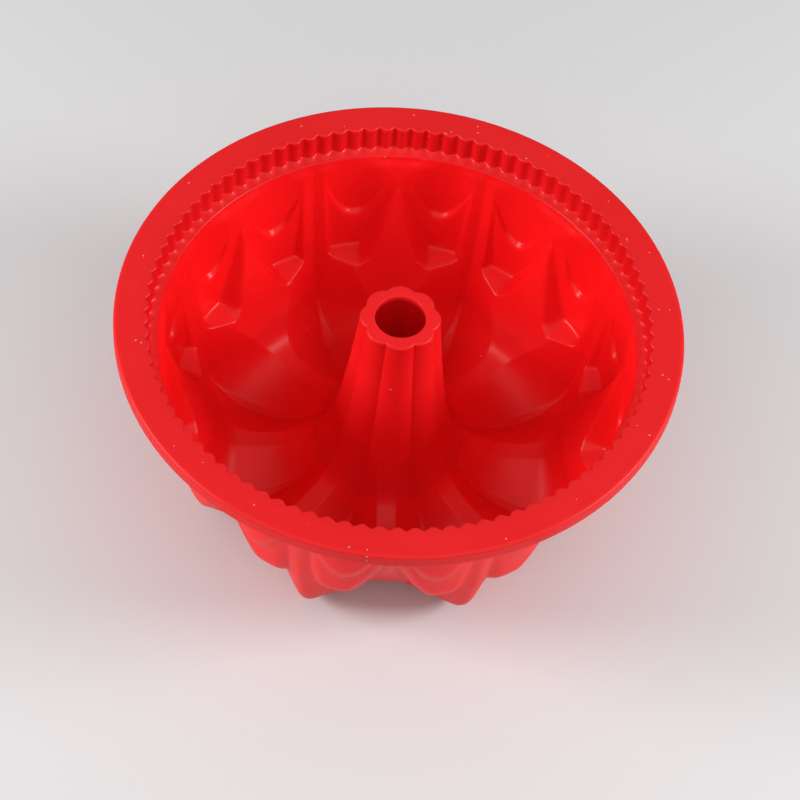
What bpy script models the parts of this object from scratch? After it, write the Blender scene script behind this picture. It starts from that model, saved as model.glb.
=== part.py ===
"""Fluted bundt pan, moulded in silicone: metres, +Z up, origin on the resting plane below the tube.

The pan is one moulding. It is modelled as the zones it is divided into by its own edges: the
turned-down lip, the flat flange, the ribbed collar, the lobed wall with its scalloped petals,
the channelled floor, the fluted centre tube and the tube's flat crown.
"""
import math

import bmesh
import bpy
import numpy as np

# Driving dimensions
RIM_RADIUS = 0.120
HEIGHT = 0.105
WALL = 0.0018
GAP = 0.0003
LOBES = 8
RIBS = 96
TUBE_HOLE_RADIUS = 0.0108

# Rim
FLANGE_THICKNESS = 0.0024
LIP_THICKNESS = 0.0022
LIP_DROP = 0.0065
LIP_ROUND = 0.0010
COLLAR_OUTSIDE = 0.907 * RIM_RADIUS

# Ribbed collar
RIB_NOTCH_RADIUS = 0.8915 * RIM_RADIUS
RIB_CREST_RADIUS = 0.8765 * RIM_RADIUS
RIB_END_DEPTH = 0.097 * RIM_RADIUS
COLLAR_DEPTH = 0.115 * RIM_RADIUS
STEP_RADIUS = 0.897 * RIM_RADIUS
STEP_DEPTH = 0.1045 * RIM_RADIUS
WALL_TOP_RADIUS = 0.850 * RIM_RADIUS

# Tube crown
CROWN_THICKNESS = 0.0024

# Profiles of the baking surface, as (radius, depth below the rim) over the rim radius. One runs
# down the sharp crease in the middle of a lobe, the other down the crest between two lobes.
CREASE_PROFILE = (
    (0.850, 0.115),
    (0.822, 0.380),
    (0.795, 0.580),
    (0.752, 0.745),
    (0.690, 0.825),
    (0.600, 0.8635),
    (0.490, 0.8635),
    (0.378, 0.832),
    (0.282, 0.750),
    (0.203, 0.590),
    (0.157, 0.300),
    (0.128, 0.0225),
)
CREST_PROFILE = (
    (0.846, 0.115),
    (0.775, 0.380),
    (0.698, 0.580),
    (0.642, 0.680),
    (0.600, 0.740),
    (0.540, 0.770),
    (0.450, 0.775),
    (0.362, 0.750),
    (0.282, 0.698),
    (0.215, 0.570),
    (0.172, 0.300),
    (0.143, 0.0225),
)
# Half the width of the flat along each profile at the same stations, over the rim radius.
CREST_FLAT = (0.035, 0.030, 0.143, 0.090, 0.052, 0.036, 0.034, 0.034, 0.036, 0.034, 0.030, 0.026)
CREASE_FLAT = (0.0, 0.0, 0.0, 0.002, 0.008, 0.024, 0.024, 0.010, 0.002, 0.0, 0.0, 0.0)

WALL_END = 3.0
FLOOR_END = 8.0
TUBE_END = 11.0
SCALLOP_START = 8.0
SCALLOP_FULL = 9.5
SCALLOP_POWER = 0.8

# Petals: two tiers of scoops in the wall, one each side of every crease. Sizes are over the rim
# radius; "aside" is measured across a petal from its middle, positive towards the crest.
PETAL_ANGLE = math.radians(180.0 / LOBES / 2.0)
PETAL_RADIUS = 0.84
UPPER_PETAL = {
    "top": 0.847, "draft": 0.020, "arc": 0.28, "centre": -0.015,
    "crest_side": 0.125, "crest_closing": 0.20, "crest_slope": 1.6,
    "crease_side": -0.135, "crease_closing": 0.05, "crease_slope": 1.0,
    "end": 0.385, "rise": 0.090, "half": 0.090, "shelf_slope": 1.1,
}
LOWER_PETAL = {
    "top": 0.842, "draft": 0.085, "arc": 0.60, "centre": -0.020,
    "crest_side": 0.175, "crest_closing": 0.79, "crest_slope": 3.5,
    "crease_side": -0.130, "crease_closing": 0.10, "crease_slope": 1.6,
    "end": 0.552, "rise": 0.0, "half": 0.090, "shelf_slope": 3.2,
}
PETAL_BLEND = 0.040
UPPER_EDGE_TOP = 0.250
UPPER_SHELF = 0.020
LOWER_SHELF = 0.026
STATION_GAP = 0.02
FLOOR_STATIONS = (WALL_END + STATION_GAP, 3.5, 4.0, 4.6, 5.0, 5.5, 6.0, 6.4, 7.2, FLOOR_END - STATION_GAP)

# Fineness of the mesh
COLUMNS_PER_HALF_LOBE = 8
TURN_STEPS = 96
CORNER_STEPS = 3
WALL_ROWS = (0.0, 0.2, 0.6, 1.0, 2.0, 2.5, 3.0, 4.0, 4.5, 5.0)
WALL_SAMPLES = 121
TUBE_ROWS = 6
MERGE_DISTANCE = 0.00001
SHARP_ANGLE = math.radians(30.0)

HALF_LOBE = math.pi / LOBES
RED = (0.72, 0.012, 0.014, 1.0)
SATIN = 0.45
SMOOTH = 0.35


# --- Scene ------------------------------------------------------------------------------------

def clear_scene():
    for old in list(bpy.data.objects):
        bpy.data.objects.remove(old, do_unlink=True)


def silicone(name, roughness):
    material = bpy.data.materials.new(name)
    material.use_nodes = True
    shader = material.node_tree.nodes["Principled BSDF"]
    shader.inputs["Base Color"].default_value = RED
    shader.inputs["Roughness"].default_value = roughness
    shader.inputs["Metallic"].default_value = 0.0
    return material


def add_object(name, mesh, collection, roughness):
    mesh.shade_smooth()
    mesh.set_sharp_from_angle(angle=SHARP_ANGLE)
    piece = bpy.data.objects.new(name, mesh)
    piece.data.materials.append(silicone(name + "_silicone", roughness))
    collection.objects.link(piece)
    return piece


# --- Lofts and turned rings -------------------------------------------------------------------

def loft(name, radius, height, closed):
    """A mesh of rings, one a row, from arrays of radius and height by row and column."""
    rows, columns = radius.shape
    angles = np.arange(columns) * (2.0 * math.pi / columns)
    shape = bmesh.new()
    rings = []
    for row in range(rows):
        ring = []
        for column in range(columns):
            r = radius[row, column]
            point = (r * math.cos(angles[column]), r * math.sin(angles[column]), height[row, column])
            ring.append(shape.verts.new(point))
        rings.append(ring)
    last = rows if closed else rows - 1
    for row in range(last):
        upper = rings[row]
        lower = rings[(row + 1) % rows]
        for column in range(columns):
            after = (column + 1) % columns
            shape.faces.new((upper[column], upper[after], lower[after], lower[column]))
    mesh = bpy.data.meshes.new(name)
    shape.to_mesh(mesh)
    shape.free()
    return mesh


def thicken(piece, thickness):
    """Give a baking surface its wall, on the side away from the cake."""
    wall = piece.modifiers.new("wall", "SOLIDIFY")
    wall.thickness = thickness
    wall.offset = -1.0
    wall.use_even_offset = True
    wall.thickness_clamp = 0.0


def turned_ring(name, profile, collection):
    """Turn a closed (radius, height) outline about the pan's axis."""
    shape = bmesh.new()
    corners = [shape.verts.new((radius, 0.0, height)) for radius, height in profile]
    for index, corner in enumerate(corners):
        shape.edges.new((corner, corners[(index + 1) % len(corners)]))
    mesh = bpy.data.meshes.new(name)
    shape.to_mesh(mesh)
    shape.free()
    piece = add_object(name, mesh, collection, SATIN)
    turn = piece.modifiers.new("turn", "SCREW")
    turn.axis = "Z"
    turn.angle = 2.0 * math.pi
    turn.screw_offset = 0.0
    turn.steps = TURN_STEPS
    turn.render_steps = TURN_STEPS
    turn.use_merge_vertices = True
    turn.merge_threshold = MERGE_DISTANCE
    turn.use_smooth_shade = True


# --- The baking surface -----------------------------------------------------------------------

def through(values, station):
    """A smooth curve through the values, one value a station."""
    values = np.asarray(values, float)
    last = len(values) - 1
    start = np.clip(np.floor(station).astype(int), 0, last - 1)
    part = station - start
    before = values[np.maximum(start - 1, 0)]
    near = values[start]
    far = values[start + 1]
    after = values[np.minimum(start + 2, last)]
    slope_in = (far - before) / 2.0
    slope_out = (after - near) / 2.0
    return (
        near
        + slope_in * part
        + (3.0 * (far - near) - 2.0 * slope_in - slope_out) * part ** 2
        + (2.0 * (near - far) + slope_in + slope_out) * part ** 3
    )


def ease(value):
    value = np.clip(value, 0.0, 1.0)
    return value * value * (3.0 - 2.0 * value)


def from_crease(angle):
    """The angle to the nearest crease, from 0 there to half a lobe at a crest."""
    return np.abs(np.mod(angle, 2.0 * HALF_LOBE) - HALF_LOBE)


def star(phi, station):
    """Radius and depth of the plain lobed surface, over the rim radius.

    Across a lobe the section is a straight flank, from the crease out to the flat of the crest.
    """
    crease_r = through([point[0] for point in CREASE_PROFILE], station)
    crease_d = through([point[1] for point in CREASE_PROFILE], station)
    crest_r = through([point[0] for point in CREST_PROFILE], station)
    crest_d = through([point[1] for point in CREST_PROFILE], station)
    crest_flat = through(CREST_FLAT, station)
    crease_flat = np.maximum(through(CREASE_FLAT, station), 0.0)

    start_phi = np.arctan2(crease_flat, crease_r)
    start_r = np.hypot(crease_r, crease_flat)
    end_phi = HALF_LOBE - np.arctan2(crest_flat, crest_r)
    end_r = np.hypot(crest_r, crest_flat)
    on_flank = np.clip(phi, start_phi, end_phi)
    flank_r = np.sin(end_phi - start_phi) / (
        np.sin(end_phi - on_flank) / start_r + np.sin(on_flank - start_phi) / end_r
    )
    along = flank_r * np.sin(on_flank - start_phi) / (end_r * np.sin(end_phi - start_phi))
    radius = np.where(phi < start_phi, crease_r / np.cos(phi), flank_r)
    radius = np.where(phi > end_phi, crest_r / np.cos(HALF_LOBE - phi), radius)
    depth = crease_d + (crest_d - crease_d) * along

    bulge = np.sin(phi / HALF_LOBE * math.pi / 2.0) ** SCALLOP_POWER
    round_r = crease_r + (crest_r - crease_r) * bulge
    round_d = crease_d + (crest_d - crease_d) * bulge
    fluted = ease((station - SCALLOP_START) / (SCALLOP_FULL - SCALLOP_START))
    return radius + (round_r - radius) * fluted, depth + (round_d - depth) * fluted


def petal_edge(petal, aside):
    """Depth at which a petal's scoop ends."""
    return petal["end"] - petal["rise"] * (aside / petal["half"]) ** 2


def petal_radius(petal, phi, depth):
    """Radius of a petal's scoop: a shallow arc in plan between two sides and a shelf."""
    delta = phi - PETAL_ANGLE
    below = depth - CREASE_PROFILE[0][1]
    floor = petal["top"] - petal["draft"] * below
    aside = floor * np.tan(delta)
    reach = floor - (aside - petal["centre"]) ** 2 / (2.0 * petal["arc"])
    crest_side = petal["crest_side"] - petal["crest_closing"] * below ** 2
    crease_side = petal["crease_side"] + petal["crease_closing"] * below
    reach = reach - petal["crest_slope"] * np.maximum(aside - crest_side, 0.0)
    reach = reach - petal["crease_slope"] * np.maximum(crease_side - aside, 0.0)
    reach = reach - petal["shelf_slope"] * np.maximum(depth - petal_edge(petal, aside), 0.0)
    return reach / np.cos(delta)


def wall_surface(phi, rows):
    """Radius and depth down the wall, with rows that follow the petals' lower edges."""
    samples = np.linspace(0.0, WALL_END - STATION_GAP, WALL_SAMPLES)[:, None]
    star_r, star_d = star(phi[None, :], samples)
    top = CREASE_PROFILE[0][1]
    aside = PETAL_RADIUS * np.tan(phi - PETAL_ANGLE)
    upper = np.maximum(petal_edge(UPPER_PETAL, aside), UPPER_EDGE_TOP)
    lower = np.full_like(phi, LOWER_PETAL["end"])
    levels = [np.full_like(phi, top), upper, upper + UPPER_SHELF, lower, lower + LOWER_SHELF, star_d[-1]]
    radius = []
    depth = []
    for place in rows:
        level = min(int(place), len(levels) - 2)
        part = place - level
        row_depth = levels[level] + (levels[level + 1] - levels[level]) * part
        row_radius = np.array([
            np.interp(row_depth[column], star_d[:, column], star_r[:, column])
            for column in range(len(phi))
        ])
        for petal in (UPPER_PETAL, LOWER_PETAL):
            row_radius = np.maximum(row_radius, petal_radius(petal, phi, row_depth))
        settled = ease((row_depth - top) / PETAL_BLEND)
        radius.append(WALL_TOP_RADIUS / RIM_RADIUS * (1.0 - settled) + row_radius * settled)
        depth.append(row_depth)
    return np.array(radius), np.array(depth)


def to_metres(radius, depth):
    return radius * RIM_RADIUS, HEIGHT - depth * RIM_RADIUS


# --- Sub-parts --------------------------------------------------------------------------------

def column_angles(columns):
    return np.arange(columns) * (2.0 * math.pi / columns)


def make_rim_lip(collection):
    inside = RIM_RADIUS - LIP_THICKNESS
    low = HEIGHT - LIP_DROP
    bend_radius = RIM_RADIUS - LIP_ROUND
    bend_height = HEIGHT - LIP_ROUND
    profile = [(inside, HEIGHT)]
    for step in range(CORNER_STEPS + 1):
        turn = math.pi / 2.0 * (1.0 - step / CORNER_STEPS)
        outwards = LIP_ROUND * math.cos(turn)
        upwards = LIP_ROUND * math.sin(turn)
        profile.append((bend_radius + outwards, bend_height + upwards))
    profile.append((RIM_RADIUS, low + LIP_ROUND / 2.0))
    profile.append((RIM_RADIUS - LIP_ROUND / 2.0, low))
    profile.append((inside, low))
    turned_ring("rim_lip", profile, collection)


def make_rim_flange(collection):
    inside = COLLAR_OUTSIDE + GAP
    outside = RIM_RADIUS - LIP_THICKNESS - GAP
    low = HEIGHT - FLANGE_THICKNESS
    profile = [(inside, HEIGHT), (outside, HEIGHT), (outside, low), (inside, low)]
    turned_ring("rim_flange", profile, collection)


def make_ribbed_collar(collection):
    """A ring with a notch and a rib in turn round its bore, stepping in to the wall below."""
    columns = 2 * RIBS
    is_rib = np.arange(columns) % 2 == 0
    ribbed = np.where(is_rib, RIB_CREST_RADIUS, RIB_NOTCH_RADIUS)
    foot = COLLAR_DEPTH - GAP
    bend_radius = (RIB_CREST_RADIUS + WALL_TOP_RADIUS) / 2.0
    bend_depth = (RIB_END_DEPTH + foot) / 2.0
    sections = (
        (ribbed, 0.0),
        (ribbed, RIB_END_DEPTH),
        ((ribbed + bend_radius) / 2.0, bend_depth),
        (np.full(columns, WALL_TOP_RADIUS), foot),
        (np.full(columns, STEP_RADIUS), foot),
        (np.full(columns, COLLAR_OUTSIDE), STEP_DEPTH),
        (np.full(columns, COLLAR_OUTSIDE), 0.0),
    )
    radius = np.array([section[0] for section in sections])
    height = np.array([np.full(columns, HEIGHT - section[1]) for section in sections])
    mesh = loft("ribbed_collar", radius, height, closed=True)
    add_object("ribbed_collar", mesh, collection, SATIN)


def make_lobed_wall(collection, phi):
    radius, depth = wall_surface(phi, WALL_ROWS)
    radius, height = to_metres(radius, depth)
    mesh = loft("lobed_wall", radius, height, closed=False)
    piece = add_object("lobed_wall", mesh, collection, SMOOTH)
    thicken(piece, WALL)


def make_channel_floor(collection, phi):
    """The eight pockets and the ridges between them, cut flat where the pan stands."""
    stations = np.array(FLOOR_STATIONS)[:, None]
    radius, height = to_metres(*star(phi[None, :], stations))
    sheet = add_object("floor_sheet", loft("floor_sheet", radius, height, closed=False), collection, SMOOTH)
    thicken(sheet, WALL)
    bpy.context.view_layer.update()
    evaluated = sheet.evaluated_get(bpy.context.evaluated_depsgraph_get())
    mesh = bpy.data.meshes.new_from_object(evaluated)
    bpy.data.objects.remove(sheet, do_unlink=True)
    for vertex in mesh.vertices:
        vertex.co.z = max(vertex.co.z, 0.0)
    mesh.materials.clear()
    add_object("channel_floor", mesh, collection, SMOOTH)


def make_centre_tube(collection, phi):
    stations = np.linspace(FLOOR_END + STATION_GAP, TUBE_END, TUBE_ROWS)[:, None]
    radius, height = to_metres(*star(phi[None, :], stations))
    height[-1] = HEIGHT - CROWN_THICKNESS - GAP
    mesh = loft("centre_tube", radius, height, closed=False)
    piece = add_object("centre_tube", mesh, collection, SMOOTH)
    thicken(piece, WALL)


def make_tube_crown(collection, phi):
    """The flat scalloped top of the tube, with its round hole."""
    scallop = star(phi, np.full(len(phi), TUBE_END))[0] * RIM_RADIUS
    hole = np.full(len(phi), TUBE_HOLE_RADIUS)
    radius = np.array([hole, scallop, scallop, hole])
    low = HEIGHT - CROWN_THICKNESS
    height = np.array([np.full(len(phi), level) for level in (HEIGHT, HEIGHT, low, low)])
    mesh = loft("tube_crown", radius[::-1], height[::-1], closed=True)
    add_object("tube_crown", mesh, collection, SATIN)


def build():
    clear_scene()
    collection = bpy.data.collections.new("bundt_pan")
    bpy.context.scene.collection.children.link(collection)
    phi = from_crease(column_angles(2 * LOBES * COLUMNS_PER_HALF_LOBE))
    make_rim_lip(collection)
    make_rim_flange(collection)
    make_ribbed_collar(collection)
    make_lobed_wall(collection, phi)
    make_channel_floor(collection, phi)
    make_centre_tube(collection, phi)
    make_tube_crown(collection, phi)


build()
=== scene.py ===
"""Looks of the fluted silicone bundt pan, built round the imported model: metres, +Z up."""
import math

import bpy
import numpy as np
from mathutils import Matrix, Vector


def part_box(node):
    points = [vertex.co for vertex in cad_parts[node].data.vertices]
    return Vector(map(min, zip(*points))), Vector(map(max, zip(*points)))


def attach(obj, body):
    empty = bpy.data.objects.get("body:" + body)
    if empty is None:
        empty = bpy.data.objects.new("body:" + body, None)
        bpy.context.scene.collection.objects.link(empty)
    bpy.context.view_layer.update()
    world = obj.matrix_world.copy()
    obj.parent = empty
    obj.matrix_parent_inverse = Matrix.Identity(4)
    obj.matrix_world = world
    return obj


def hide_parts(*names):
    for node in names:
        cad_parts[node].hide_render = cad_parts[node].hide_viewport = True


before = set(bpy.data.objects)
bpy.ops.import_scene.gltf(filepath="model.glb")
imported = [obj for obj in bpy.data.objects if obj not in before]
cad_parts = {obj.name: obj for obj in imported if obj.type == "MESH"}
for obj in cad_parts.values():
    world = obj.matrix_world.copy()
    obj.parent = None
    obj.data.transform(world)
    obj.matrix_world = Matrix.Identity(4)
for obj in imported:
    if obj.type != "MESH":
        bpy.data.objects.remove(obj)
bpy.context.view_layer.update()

# --- Sizes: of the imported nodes, then of the shape between them -------------------------------

RIM_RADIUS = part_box("rim_lip")[1].x
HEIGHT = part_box("rim_lip")[1].z
LIP_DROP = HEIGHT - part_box("rim_lip")[0].z
COLLAR_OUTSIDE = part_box("ribbed_collar")[1].x
COLLAR_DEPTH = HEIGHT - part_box("lobed_wall")[1].z
CROWN_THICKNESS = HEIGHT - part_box("tube_crown")[0].z

LOBES = 8
RIBS = 96
HALF_LOBE = math.pi / LOBES
COLUMNS = 10 * RIBS
WALL = 0.0017
TUBE_HOLE_RADIUS = 0.0108
RIB_NOTCH_RADIUS = 0.8915 * RIM_RADIUS
RIB_CREST_RADIUS = 0.8765 * RIM_RADIUS
RIB_END_DEPTH = 0.097 * RIM_RADIUS
GROOVE_ROUND = 0.07
WALL_TOP_RADIUS = 0.850 * RIM_RADIUS
LIP_THICKNESS = 0.0020
FLANGE_THICKNESS = 0.0022

# Radii of the rounded edges, and two small offsets.
LIP_EDGE = 0.0007
LIP_BEND = 0.0016
INNER_BEND = 0.0012
COLLAR_EDGE = 0.0009
CROWN_EDGE = 0.0011
HOLE_EDGE = 0.0004
COLLAR_LEAN = 0.0002
CROWN_INSET = 0.0005
# The step between the wall and the collar outside, as (radius, depth) over the rim radius.
STEP_START = (0.882, 0.121)
STEP_END = (0.899, 0.115)
# The ribs' ends run in to the wall's top by one power and fade out by the other.
RIB_END_POWER = 1.3
RIB_FADE_POWER = 3

# Fineness of the mesh.
BEND_STEPS = 5
RIB_END_STEPS = 10
WALL_SAMPLES = 241
WALL_ROWS = (20, 5, 16, 9, 20)
FLOOR_ROWS = 64
TUBE_ROWS = 42
SMOOTH_BEFORE = 6
SMOOTH_AFTER = 4

# Profiles of the baking surface, as (radius, depth below the rim) over the rim radius. One runs
# down the sharp crease in the middle of a lobe, the other down the crest between two lobes.
CREASE_PROFILE = (
    (0.850, 0.115),
    (0.822, 0.380),
    (0.795, 0.580),
    (0.752, 0.745),
    (0.690, 0.825),
    (0.600, 0.8635),
    (0.490, 0.8635),
    (0.378, 0.832),
    (0.282, 0.750),
    (0.203, 0.590),
    (0.157, 0.300),
    (0.128, 0.0225),
)
CREST_PROFILE = (
    (0.846, 0.115),
    (0.775, 0.380),
    (0.698, 0.580),
    (0.642, 0.680),
    (0.600, 0.740),
    (0.540, 0.770),
    (0.450, 0.775),
    (0.362, 0.750),
    (0.282, 0.698),
    (0.215, 0.570),
    (0.172, 0.300),
    (0.143, 0.0225),
)
# Half widths of the flat strips along the crests and the creases, at the same stations.
CREST_FLAT = (0.035, 0.030, 0.143, 0.090, 0.052, 0.036, 0.034, 0.034, 0.036, 0.034, 0.030, 0.026)
CREASE_FLAT = (0.0, 0.0, 0.0, 0.002, 0.006, 0.018, 0.018, 0.010, 0.002, 0.0, 0.0, 0.0)
# Stations where the wall, the floor and the tube end, and where the tube's round flutes begin
# and are whole.
WALL_END = 3.0
FLOOR_END = 8.0
TUBE_END = 11.0
SCALLOP_START = 8.0
SCALLOP_FULL = 9.5
SCALLOP_POWER = 0.8

# Petals: two tiers of scoops in the wall, one each side of every crease, over the rim radius. A
# scoop is an arc in plan that leans in by its draft. Its two sides close in with depth, and its
# lower edge, at the depth called end, rises towards the sides above a sloping shelf.
PETAL_ANGLE = HALF_LOBE / 2.0
UPPER_PETAL = {
    "top": 0.847, "draft": 0.020, "arc": 0.28, "centre": -0.015,
    "crest_side": 0.125, "crest_closing": 0.20, "crest_slope": 1.6,
    "crease_side": -0.135, "crease_closing": 0.05, "crease_slope": 1.0,
    "end": 0.385, "rise": 0.090, "half": 0.090, "shelf_slope": 1.1,
}
LOWER_PETAL = {
    "top": 0.842, "draft": 0.085, "arc": 0.60, "centre": -0.020,
    "crest_side": 0.175, "crest_closing": 0.79, "crest_slope": 3.5,
    "crease_side": -0.130, "crease_closing": 0.10, "crease_slope": 1.6,
    "end": 0.552, "rise": 0.0, "half": 0.090, "shelf_slope": 3.2,
}
PETAL_BLEND = 0.040
PETAL_PLAN_RADIUS = 0.84
UPPER_EDGE_TOP = 0.250
UPPER_LEDGE = 0.016
LOWER_LEDGE = 0.030

# Slot, share of red, roughness, and amount of dust of every zone.
# The share of red is partly painted light: the wall and floor get a lighter red, for the light they
# catch.
FINISH_AND_PAINTED_LIGHT = {
    "rim_lip": ("silicone_rim", 0.84, 0.46, 1.0),
    "rim_flange": ("silicone_rim", 0.82, 0.50, 5.0),
    "ribbed_collar": ("silicone_collar", 0.86, 0.34, 0.6),
    "lobed_wall": ("silicone_body", 0.96, 0.31, 0.4),
    "channel_floor": ("silicone_body", 0.96, 0.36, 0.3),
    "centre_tube": ("silicone_tube", 0.88, 0.42, 0.8),
    "tube_crown": ("silicone_tube", 0.88, 0.46, 1.0),
}
SILICONE_IOR = 1.43
SPECULAR_LEVEL = 0.38
GLOW_SHARE = 0.27
# Position on the ramp, then red, green and blue.
CLOUD_REDS = ((0.30, 0.95, 0.009, 0.011), (0.75, 1.00, 0.013, 0.016))
# Scale and detail of the noises.
CLOUD_NOISE = (28.0, 5.0)
BLOOM_NOISE = (90.0, 6.0)
GRAIN_NOISE = (1400.0, 2.0)
GRAIN_STRENGTH = 0.12
GRAIN_DEPTH = 0.00015
SMOOTHER = 0.03
ROUGHER = 0.04
SPECK_SCALE = 420.0
SPECK_SHARE = 0.012
SPECK_SIZE = 0.16
SPECK_STRENGTH = 0.55
DUST_COLOUR = (0.80, 0.50, 0.48, 1.0)

STUDIO_FLOOR_COLOUR = (0.58, 0.58, 0.585, 1.0)
STUDIO_FLOOR_ROUGHNESS = 0.6
STUDIO_FLOOR_REACH = 6.0
LIGHT_TARGET = 0.6
SIDE_BOX_PLACE = (0.98, -0.12, 0.56)
SIDE_BOX_SIZE = (0.40, 0.40)
SIDE_BOX_POWER = 9.5
FRONT_BOX_PLACE = (0.0, -1.3, 1.5)
FRONT_BOX_SIZE = (3.2, 2.2)
FRONT_BOX_POWER = 17.0
WORLD_STRENGTH = 0.40

CAMERA_DISTANCE = 8.8
CAMERA_ELEVATION = 51.7
CAMERA_AZIMUTH = -4.2
CAMERA_ROLL = 6.1
CAMERA_LENS = 113.2
SENSOR_WIDTH = 36.0
# How far the rim's centre stands from the middle of the view, as a share of its width.
VIEW_OFFSET = (0.00075, 0.10375)


# --- Shape of the baking surface --------------------------------------------------------------

def through(values, station):
    """A smooth curve through the values, one value a station."""
    values = np.asarray(values, float)
    last = len(values) - 1
    start = np.clip(np.floor(station).astype(int), 0, last - 1)
    part = station - start
    before = values[np.maximum(start - 1, 0)]
    near = values[start]
    far = values[start + 1]
    after = values[np.minimum(start + 2, last)]
    slope_in = (far - before) / 2.0
    slope_out = (after - near) / 2.0
    return (
        near
        + slope_in * part
        + (3.0 * (far - near) - 2.0 * slope_in - slope_out) * part ** 2
        + (2.0 * (near - far) + slope_in + slope_out) * part ** 3
    )


def ease(value):
    value = np.clip(value, 0.0, 1.0)
    return value * value * (3.0 - 2.0 * value)


def star(phi, station):
    """Radius and depth of the plain lobed surface, over the rim radius."""
    crease_r = through([point[0] for point in CREASE_PROFILE], station)
    crease_d = through([point[1] for point in CREASE_PROFILE], station)
    crest_r = through([point[0] for point in CREST_PROFILE], station)
    crest_d = through([point[1] for point in CREST_PROFILE], station)
    crest_flat = through(CREST_FLAT, station)
    crease_flat = np.maximum(through(CREASE_FLAT, station), 0.0)

    start_phi = np.arctan2(crease_flat, crease_r)
    start_r = np.hypot(crease_r, crease_flat)
    end_phi = HALF_LOBE - np.arctan2(crest_flat, crest_r)
    end_r = np.hypot(crest_r, crest_flat)
    on_flank = np.clip(phi, start_phi, end_phi)
    flank_r = np.sin(end_phi - start_phi) / (
        np.sin(end_phi - on_flank) / start_r + np.sin(on_flank - start_phi) / end_r
    )
    along = flank_r * np.sin(on_flank - start_phi) / (end_r * np.sin(end_phi - start_phi))
    radius = np.where(phi < start_phi, crease_r / np.cos(phi), flank_r)
    radius = np.where(phi > end_phi, crest_r / np.cos(HALF_LOBE - phi), radius)
    depth = crease_d + (crest_d - crease_d) * along

    bulge = np.sin(phi / HALF_LOBE * math.pi / 2.0) ** SCALLOP_POWER
    round_r = crease_r + (crest_r - crease_r) * bulge
    round_d = crease_d + (crest_d - crease_d) * bulge
    fluted = ease((station - SCALLOP_START) / (SCALLOP_FULL - SCALLOP_START))
    return radius + (round_r - radius) * fluted, depth + (round_d - depth) * fluted


def petal_edge(petal, aside):
    """Depth at which a petal's scoop ends."""
    return petal["end"] - petal["rise"] * (aside / petal["half"]) ** 2


def petal_radius(petal, phi, depth):
    """Radius of a petal's scoop: a shallow arc in plan between two sides and a shelf."""
    delta = phi - PETAL_ANGLE
    below = depth - COLLAR_DEPTH / RIM_RADIUS
    floor = petal["top"] - petal["draft"] * below
    aside = floor * np.tan(delta)
    reach = floor - (aside - petal["centre"]) ** 2 / (2.0 * petal["arc"])
    crest_side = petal["crest_side"] - petal["crest_closing"] * below ** 2
    crease_side = petal["crease_side"] + petal["crease_closing"] * below
    reach = reach - petal["crest_slope"] * np.maximum(aside - crest_side, 0.0)
    reach = reach - petal["crease_slope"] * np.maximum(crease_side - aside, 0.0)
    reach = reach - petal["shelf_slope"] * np.maximum(depth - petal_edge(petal, aside), 0.0)
    return reach / np.cos(delta)


def spread(levels, counts):
    """Rows between levels, counts[i] rows from levels[i] up to but not including the next."""
    rows = []
    for index, count in enumerate(counts):
        for step in range(count):
            part = step / count
            rows.append(levels[index] * (1.0 - part) + levels[index + 1] * part)
    return rows


def wall_surface(phi):
    """Radius and depth down the wall, with rows that follow the petals' lower edges."""
    samples = np.linspace(0.0, WALL_END, WALL_SAMPLES)[:, None]
    star_r, star_d = star(phi[None, :], samples)
    top = COLLAR_DEPTH / RIM_RADIUS
    aside = PETAL_PLAN_RADIUS * np.tan(phi - PETAL_ANGLE)
    upper = np.maximum(petal_edge(UPPER_PETAL, aside), UPPER_EDGE_TOP)
    lower = np.full_like(phi, LOWER_PETAL["end"])
    levels = [
        np.full_like(phi, top), upper, upper + UPPER_LEDGE, lower, lower + LOWER_LEDGE, star_d[-1],
    ]
    depths = np.array(spread(levels, WALL_ROWS) + [star_d[-1]])
    radius = np.empty_like(depths)
    for column in range(len(phi)):
        radius[:, column] = np.interp(depths[:, column], star_d[:, column], star_r[:, column])
    for petal in (UPPER_PETAL, LOWER_PETAL):
        radius = np.maximum(radius, petal_radius(petal, phi[None, :], depths))
    settled = ease((depths - top) / PETAL_BLEND)
    return WALL_TOP_RADIUS / RIM_RADIUS * (1.0 - settled) + radius * settled, depths


def from_crease(angle):
    """The angle to the nearest crease, from 0 there to half a lobe at a crest."""
    return np.abs(np.mod(angle, 2.0 * HALF_LOBE) - HALF_LOBE)


# --- The closed section, row by row -----------------------------------------------------------

def column_angles():
    return np.arange(COLUMNS) * (2.0 * math.pi / COLUMNS)


def ring(radius, height):
    """One row of points, from a radius and a height that may vary round the pan."""
    angle = column_angles()
    radius = np.broadcast_to(radius, angle.shape)
    height = np.broadcast_to(height, angle.shape)
    return np.stack([radius * np.cos(angle), radius * np.sin(angle), height], axis=-1)


def arc_rows(centre_r, centre_z, radius, start, end, count):
    """Rows round an outer edge; angles are in degrees, from outwards towards up."""
    rows = []
    for step in range(count):
        turn = math.radians(start + (end - start) * step / (count - 1))
        rows.append(ring(centre_r + radius * math.cos(turn), centre_z + radius * math.sin(turn)))
    return rows


def bend_rows(side, level, out, up, count, upright_first=False, first=1):
    """Rows round a quarter bend between an upright face at side and a flat face at level.

    Out and up are the bend's radius, with the sign of the way from the corner to the bend.
    """
    rows = []
    for step in range(first, count + 1):
        turn = math.pi / 2.0 * step / count
        from_side = 1.0 - math.sin(turn)
        from_level = 1.0 - math.cos(turn)
        if upright_first:
            from_side, from_level = from_level, from_side
        rows.append(ring(side + out * from_side, level + up * from_level))
    return rows


def line_rows(start, end, count):
    """Rows from one row towards another, leaving out both ends."""
    return [start + (end - start) * (step + 1) / (count + 1) for step in range(count)]


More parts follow.
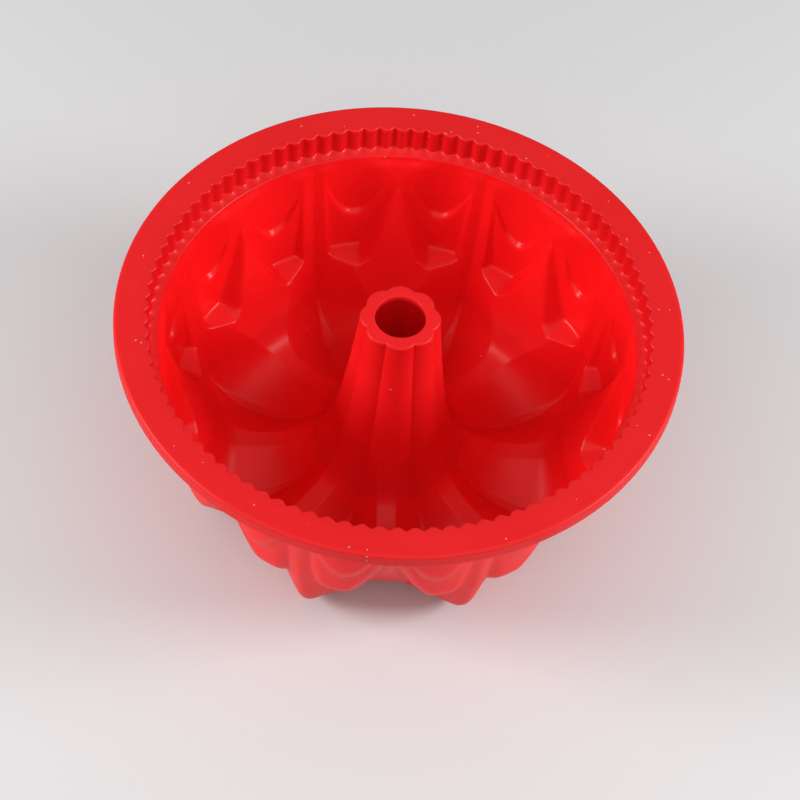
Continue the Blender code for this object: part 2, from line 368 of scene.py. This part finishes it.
def rib_wave():
    """1 on the round back of a rib and 0 in the groove between two."""
    back = np.cos(column_angles() * RIBS / 2.0) ** 2
    base = math.sqrt(GROOVE_ROUND)
    return (np.sqrt(back + GROOVE_ROUND) - base) / (math.sqrt(1.0 + GROOVE_ROUND) - base)


def collar_radius(share):
    """Radius of the ribbed face; share is 1 for whole ribs and 0 for none."""
    ribs = RIB_NOTCH_RADIUS + (RIB_CREST_RADIUS - RIB_NOTCH_RADIUS) * rib_wave()
    return ribs * share + (RIB_CREST_RADIUS + RIB_NOTCH_RADIUS) / 2.0 * (1.0 - share)


def lip_rows():
    low = HEIGHT - LIP_DROP
    rows = arc_rows(RIM_RADIUS - LIP_EDGE, low + LIP_EDGE, LIP_EDGE, -90, 0, 4)
    corner = arc_rows(RIM_RADIUS - LIP_BEND, HEIGHT - LIP_BEND, LIP_BEND, 0, 90, 8)
    rows += line_rows(rows[-1], corner[0], 4)
    return rows + corner


def flange_rows(first):
    inner = ring(collar_radius(1.0) + COLLAR_EDGE, HEIGHT)
    return line_rows(first, inner, 12) + [inner]


def collar_rows():
    """The rounded inner edge of the flange, the upright ribs, and their curved ends."""
    ribs = collar_radius(1.0)
    rows = bend_rows(ribs, HEIGHT, COLLAR_EDGE, -COLLAR_EDGE, BEND_STEPS)
    upright = ring(ribs - COLLAR_LEAN, HEIGHT - RIB_END_DEPTH)
    rows += line_rows(rows[-1], upright, 8) + [upright]
    for step in range(1, RIB_END_STEPS):
        part = step / RIB_END_STEPS
        inward = part ** RIB_END_POWER
        start = collar_radius(1.0 - part ** RIB_FADE_POWER) - COLLAR_LEAN
        depth = RIB_END_DEPTH + (COLLAR_DEPTH - RIB_END_DEPTH) * part
        radius = start + (WALL_TOP_RADIUS - start) * inward
        rows.append(ring(radius, HEIGHT - depth))
    return rows


def surface_rows(radius, depth):
    return [ring(r * RIM_RADIUS, HEIGHT - d * RIM_RADIUS) for r, d in zip(radius, depth)]


def soften(points, rounds):
    """Round the creases of a stack of rows, leaving its first and last rows alone."""
    points = points.copy()
    for _ in range(rounds):
        around = (np.roll(points, 1, axis=1) + 2.0 * points + np.roll(points, -1, axis=1)) / 4.0
        points[1:-1] = (around[:-2] + 2.0 * around[1:-1] + around[2:]) / 4.0
    return points


def grid_normals(points, closed):
    """Normals at the points of a stack of rows, towards the cake on the baking surface."""
    if closed:
        after = np.roll(points, -1, axis=0)
    else:
        after = points[1:]
        points = points[:-1]
    across = np.roll(points, -1, axis=1)
    after_across = np.roll(after, -1, axis=1)
    faces = np.cross(after_across - points, after - across)
    corners = faces + np.roll(faces, 1, axis=1)
    if closed:
        total = corners + np.roll(corners, 1, axis=0)
    else:
        total = np.zeros((corners.shape[0] + 1,) + corners.shape[1:])
        total[:-1] += corners
        total[1:] += corners
    length = np.linalg.norm(total, axis=-1, keepdims=True)
    return total / np.maximum(length, 1e-12)


def baking_rows():
    """The wall, the floor and the tube as three stacks of rows that follow on."""
    phi = from_crease(column_angles())
    wall = surface_rows(*wall_surface(phi))
    floor_stations = np.linspace(WALL_END, FLOOR_END, FLOOR_ROWS + 1)[1:, None]
    floor = surface_rows(*star(phi[None, :], floor_stations))
    tube_stations = np.linspace(FLOOR_END, TUBE_END, TUBE_ROWS + 1)[1:, None]
    tube = surface_rows(*star(phi[None, :], tube_stations))
    return wall, floor, tube


def underside(points):
    """The outer face of the moulding, one wall away from the baking surface."""
    smooth = soften(points, SMOOTH_BEFORE)
    outside = smooth - grid_normals(smooth, closed=False) * WALL
    outside[:, :, 2] = np.maximum(outside[:, :, 2], 0.0)
    return soften(outside, SMOOTH_AFTER)


def crown_rows(last):
    """From the top of the tube over its rounded edge, across the crown and into the hole."""
    rim = np.hypot(last[:, 0], last[:, 1])
    rows = line_rows(last, ring(rim, HEIGHT - CROWN_EDGE), 2)
    rows += bend_rows(
        rim, HEIGHT, -CROWN_EDGE, -CROWN_EDGE, BEND_STEPS, upright_first=True, first=0,
    )
    inner = ring(TUBE_HOLE_RADIUS + HOLE_EDGE, HEIGHT)
    rows += line_rows(rows[-1], inner, 6) + [inner]
    return rows + bend_rows(TUBE_HOLE_RADIUS, HEIGHT, HOLE_EDGE, -HOLE_EDGE, 3)


def crown_under_rows(first_tube_row):
    """From the bottom of the hole out under the crown, towards the inside of the tube."""
    inner = np.hypot(first_tube_row[:, 0], first_tube_row[:, 1])
    low = HEIGHT - CROWN_THICKNESS
    hole = ring(TUBE_HOLE_RADIUS, low)
    edge = ring(inner - CROWN_INSET, low)
    return [hole] + line_rows(hole, edge, 4) + [edge]


def collar_outside_rows(last):
    """From the top of the wall's outer face round the step and up the outside of the collar."""
    upright = COLLAR_OUTSIDE - COLLAR_LEAN
    marks = [
        last,
        ring(STEP_START[0] * RIM_RADIUS, HEIGHT - STEP_START[1] * RIM_RADIUS),
        ring(STEP_END[0] * RIM_RADIUS, HEIGHT - STEP_END[1] * RIM_RADIUS),
        ring(upright, HEIGHT - RIB_END_DEPTH),
        ring(upright, HEIGHT - FLANGE_THICKNESS - INNER_BEND),
    ]
    rows = [last]
    for start, end, count in zip(marks, marks[1:], (3, 2, 2, 4)):
        rows += line_rows(start, end, count) + [end]
    return rows


def flange_under_rows():
    level = HEIGHT - FLANGE_THICKNESS
    rows = bend_rows(
        COLLAR_OUTSIDE, level, INNER_BEND, -INNER_BEND, BEND_STEPS, upright_first=True,
    )
    outer = ring(RIM_RADIUS - LIP_THICKNESS - INNER_BEND, level)
    return rows + line_rows(rows[-1], outer, 6) + [outer]


def lip_inside_rows():
    inside = RIM_RADIUS - LIP_THICKNESS
    low = HEIGHT - LIP_DROP
    level = HEIGHT - FLANGE_THICKNESS
    rows = bend_rows(inside, level, -INNER_BEND, -INNER_BEND, BEND_STEPS)
    foot = ring(inside, low + LIP_EDGE)
    rows += line_rows(rows[-1], foot, 3) + [foot]
    return rows + bend_rows(inside, low, LIP_EDGE, LIP_EDGE, 4, upright_first=True)


def moulding():
    """The whole skin as one closed stack of rows, with the stretch of rows of every zone."""
    lip = lip_rows()
    flange = flange_rows(lip[-1])
    collar = collar_rows()
    wall, floor, tube = baking_rows()
    baking = soften(np.array(wall + floor + tube), 1)
    outside = underside(baking)
    crown = crown_rows(baking[-1])
    ends = np.cumsum([len(wall), len(floor), len(tube)])
    stretches = [
        ("rim_lip", np.array(lip)),
        ("rim_flange", np.array(flange)),
        ("ribbed_collar", np.array(collar)),
        ("lobed_wall", baking[:ends[0]]),
        ("channel_floor", baking[ends[0]:ends[1]]),
        ("centre_tube", baking[ends[1]:]),
        ("tube_crown", np.array(crown)),
        ("tube_crown", np.array(crown_under_rows(outside[-1]))),
        ("centre_tube", outside[ends[1]:][::-1]),
        ("channel_floor", outside[ends[0]:ends[1]][::-1]),
        ("lobed_wall", outside[1:ends[0]][::-1]),
        ("ribbed_collar", np.array(collar_outside_rows(outside[0]))),
        ("rim_flange", np.array(flange_under_rows())),
        ("rim_lip", np.array(lip_inside_rows())),
    ]
    points = np.concatenate([rows for _, rows in stretches])
    zones = {}
    start = 0
    for name, rows in stretches:
        zones.setdefault(name, []).append((start, start + len(rows)))
        start += len(rows)
    return points, zones


# --- Pieces -----------------------------------------------------------------------------------

def zone_rows(stretches, total):
    """The rows of one zone's closed loop, each stretch run on to the first row of the next."""
    rows = []
    for start, end in stretches:
        stretch = list(range(start, end))
        stretch.append(end % total)
        rows.append(stretch)
    return rows


def make_piece(name, points, normals, stretches, material):
    """A closed ring: its two faces are skin, and its two cuts meet the neighbouring zones."""
    total = len(points)
    order = []
    for stretch in zone_rows(stretches, total):
        order += [row for row in stretch if row not in order]
    columns = points.shape[1]
    verts = points[order].reshape(-1, 3)
    count = len(order)
    upper = np.arange(count)[:, None] * columns + np.arange(columns)[None, :]
    lower = np.roll(upper, -1, axis=0)
    faces = np.stack([upper, np.roll(upper, -1, 1), np.roll(lower, -1, 1), lower], axis=-1)
    faces = faces.reshape(-1, 4).astype(np.int32)

    mesh = bpy.data.meshes.new(name)
    mesh.vertices.add(len(verts))
    mesh.vertices.foreach_set("co", verts.astype(np.float32).ravel())
    mesh.loops.add(faces.size)
    mesh.loops.foreach_set("vertex_index", faces.ravel())
    mesh.polygons.add(len(faces))
    mesh.polygons.foreach_set("loop_start", np.arange(0, faces.size, 4, dtype=np.int32))
    mesh.update(calc_edges=True)
    mesh.validate()
    mesh.shade_smooth()
    mesh.normals_split_custom_set_from_vertices(normals[order].reshape(-1, 3).astype(np.float32))
    piece = bpy.data.objects.new(name, mesh)
    piece.data.materials.append(material)
    bpy.context.scene.collection.objects.link(piece)
    return piece


# --- Materials --------------------------------------------------------------------------------

def noise(material, place, scale, detail):
    """A noise texture in the piece's own space."""
    texture = material.node_tree.nodes.new("ShaderNodeTexNoise")
    texture.inputs["Scale"].default_value = scale
    texture.inputs["Detail"].default_value = detail
    material.node_tree.links.new(place.outputs["Object"], texture.inputs["Vector"])
    return texture.outputs["Fac"]


def calculate(material, operation, first, second):
    """A maths node on a socket, and on a number or a second socket."""
    node = material.node_tree.nodes.new("ShaderNodeMath")
    node.operation = operation
    material.node_tree.links.new(first, node.inputs[0])
    if isinstance(second, float):
        node.inputs[1].default_value = second
    else:
        material.node_tree.links.new(second, node.inputs[1])
    return node.outputs["Value"]


def silicone(name, shade, roughness, dust):
    """Red silicone: faint clouding, a fine moulded texture, specks of dust, and some glow."""
    material = bpy.data.materials.new(name)
    material.use_nodes = True
    nodes = material.node_tree.nodes
    links = material.node_tree.links
    shader = nodes["Principled BSDF"]
    shader.inputs["Metallic"].default_value = 0.0
    shader.inputs["IOR"].default_value = SILICONE_IOR
    shader.inputs["Specular IOR Level"].default_value = SPECULAR_LEVEL
    place = nodes.new("ShaderNodeTexCoord")

    tint = nodes.new("ShaderNodeValToRGB")
    # The zone's share of red scales the red: painted light, lighter on the wall and floor.
    for element, (position, red, green, blue) in zip(tint.color_ramp.elements, CLOUD_REDS):
        element.position = position
        element.color = (red * shade, green, blue, 1.0)
    links.new(noise(material, place, *CLOUD_NOISE), tint.inputs["Fac"])

    specks = nodes.new("ShaderNodeTexVoronoi")
    specks.inputs["Scale"].default_value = SPECK_SCALE
    links.new(place.outputs["Object"], specks.inputs["Vector"])
    chosen = nodes.new("ShaderNodeSeparateColor")
    links.new(specks.outputs["Color"], chosen.inputs["Color"])
    rare = calculate(material, "LESS_THAN", chosen.outputs["Red"], SPECK_SHARE * dust)
    small = calculate(material, "LESS_THAN", specks.outputs["Distance"], SPECK_SIZE)
    speck = calculate(material, "MULTIPLY", rare, small)
    faint = calculate(material, "MULTIPLY", speck, SPECK_STRENGTH)
    dusty = nodes.new("ShaderNodeMix")
    dusty.data_type = "RGBA"
    dusty.inputs["B"].default_value = DUST_COLOUR
    links.new(faint, dusty.inputs["Factor"])
    links.new(tint.outputs["Color"], dusty.inputs["A"])
    links.new(dusty.outputs["Result"], shader.inputs["Base Color"])

    rough = nodes.new("ShaderNodeMapRange")
    rough.inputs["From Min"].default_value = 0.3
    rough.inputs["From Max"].default_value = 0.7
    rough.inputs["To Min"].default_value = roughness - SMOOTHER
    rough.inputs["To Max"].default_value = roughness + ROUGHER
    links.new(noise(material, place, *BLOOM_NOISE), rough.inputs["Value"])
    links.new(rough.outputs["Result"], shader.inputs["Roughness"])

    bump = nodes.new("ShaderNodeBump")
    bump.inputs["Strength"].default_value = GRAIN_STRENGTH
    bump.inputs["Distance"].default_value = GRAIN_DEPTH
    links.new(noise(material, place, *GRAIN_NOISE), bump.inputs["Height"])
    links.new(bump.outputs["Normal"], shader.inputs["Normal"])

    glow = nodes.new("ShaderNodeBsdfTranslucent")
    links.new(tint.outputs["Color"], glow.inputs["Color"])
    thin = nodes.new("ShaderNodeMixShader")
    thin.inputs["Fac"].default_value = GLOW_SHARE
    links.new(shader.outputs["BSDF"], thin.inputs[1])
    links.new(glow.outputs["BSDF"], thin.inputs[2])
    links.new(thin.outputs["Shader"], nodes["Material Output"].inputs["Surface"])
    return material


def floor_material():
    material = bpy.data.materials.new("studio_floor")
    material.use_nodes = True
    shader = material.node_tree.nodes["Principled BSDF"]
    shader.inputs["Base Color"].default_value = STUDIO_FLOOR_COLOUR
    shader.inputs["Roughness"].default_value = STUDIO_FLOOR_ROUGHNESS
    return material


# --- Stage ------------------------------------------------------------------------------------

def make_floor():
    mesh = bpy.data.meshes.new("studio_floor")
    signs = ((-1, -1), (1, -1), (1, 1), (-1, 1))
    corners = [(x * STUDIO_FLOOR_REACH, y * STUDIO_FLOOR_REACH, 0.0) for x, y in signs]
    mesh.from_pydata(corners, [], [(0, 1, 2, 3)])
    plane = bpy.data.objects.new("studio_floor", mesh)
    plane.data.materials.append(floor_material())
    bpy.context.scene.collection.objects.link(plane)


def aim(obj, target):
    obj.rotation_mode = "QUATERNION"
    obj.rotation_quaternion = (Vector(target) - obj.location).to_track_quat("-Z", "Y")


def softbox(name, place, size, power):
    """A rectangular light that faces the middle of the pan."""
    data = bpy.data.lights.new(name, "AREA")
    data.shape = "RECTANGLE"
    data.size, data.size_y = size
    data.energy = power
    lamp = bpy.data.objects.new(name, data)
    lamp.location = place
    bpy.context.scene.collection.objects.link(lamp)
    aim(lamp, (0.0, 0.0, LIGHT_TARGET * HEIGHT))


def make_lights():
    x, y, z = SIDE_BOX_PLACE
    softbox("left_softbox", (-x, y, z), SIDE_BOX_SIZE, SIDE_BOX_POWER)
    softbox("right_softbox", (x, y, z), SIDE_BOX_SIZE, SIDE_BOX_POWER)
    softbox("front_softbox", FRONT_BOX_PLACE, FRONT_BOX_SIZE, FRONT_BOX_POWER)
    world = bpy.data.worlds.new("studio")
    world.use_nodes = True
    background = world.node_tree.nodes["Background"]
    background.inputs["Color"].default_value = (1.0, 1.0, 1.0, 1.0)
    background.inputs["Strength"].default_value = WORLD_STRENGTH
    bpy.context.scene.world = world


def make_camera():
    """A long lens on the rim's centre, rolled, with the rim above the middle of the view."""
    azimuth = math.radians(CAMERA_AZIMUTH)
    elevation = math.radians(CAMERA_ELEVATION)
    roll = math.radians(CAMERA_ROLL)
    flat = math.cos(elevation)
    back = Vector((math.sin(azimuth) * flat, -math.cos(azimuth) * flat, math.sin(elevation)))
    right = Vector((math.cos(azimuth), math.sin(azimuth), 0.0))
    upright = right.cross(-back)
    right_rolled = right * math.cos(roll) + upright * math.sin(roll)
    up_rolled = upright * math.cos(roll) - right * math.sin(roll)
    distance = CAMERA_DISTANCE * RIM_RADIUS
    centre = Vector((0.0, 0.0, HEIGHT))
    data = bpy.data.cameras.new("camera")
    data.lens = CAMERA_LENS
    data.sensor_width = SENSOR_WIDTH
    width = distance * data.sensor_width / data.lens
    target = centre - right_rolled * (VIEW_OFFSET[0] * width) - up_rolled * (VIEW_OFFSET[1] * width)
    place = centre + back * distance
    look = (place - target).normalized()
    side = up_rolled.cross(look).normalized()
    top = look.cross(side)
    camera = bpy.data.objects.new("camera", data)
    turned = Matrix((side, top, look)).transposed().to_4x4()
    camera.matrix_world = Matrix.Translation(place) @ turned
    bpy.context.scene.collection.objects.link(camera)
    bpy.context.scene.camera = camera


def set_colour():
    """Plain sRGB, so that a strong red keeps its hue."""
    bpy.context.scene.view_settings.view_transform = "Standard"


def make_pan():
    points, zones = moulding()
    normals = grid_normals(points, closed=True)
    for node, (slot, shade, roughness, dust) in FINISH_AND_PAINTED_LIGHT.items():
        material = silicone(node + "_silicone", shade, roughness, dust)
        piece = make_piece(node + "_skin", points, normals, zones[node], material)
        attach(piece, "root")
        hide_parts(node)


set_colour()
make_pan()
make_floor()
make_lights()
make_camera()
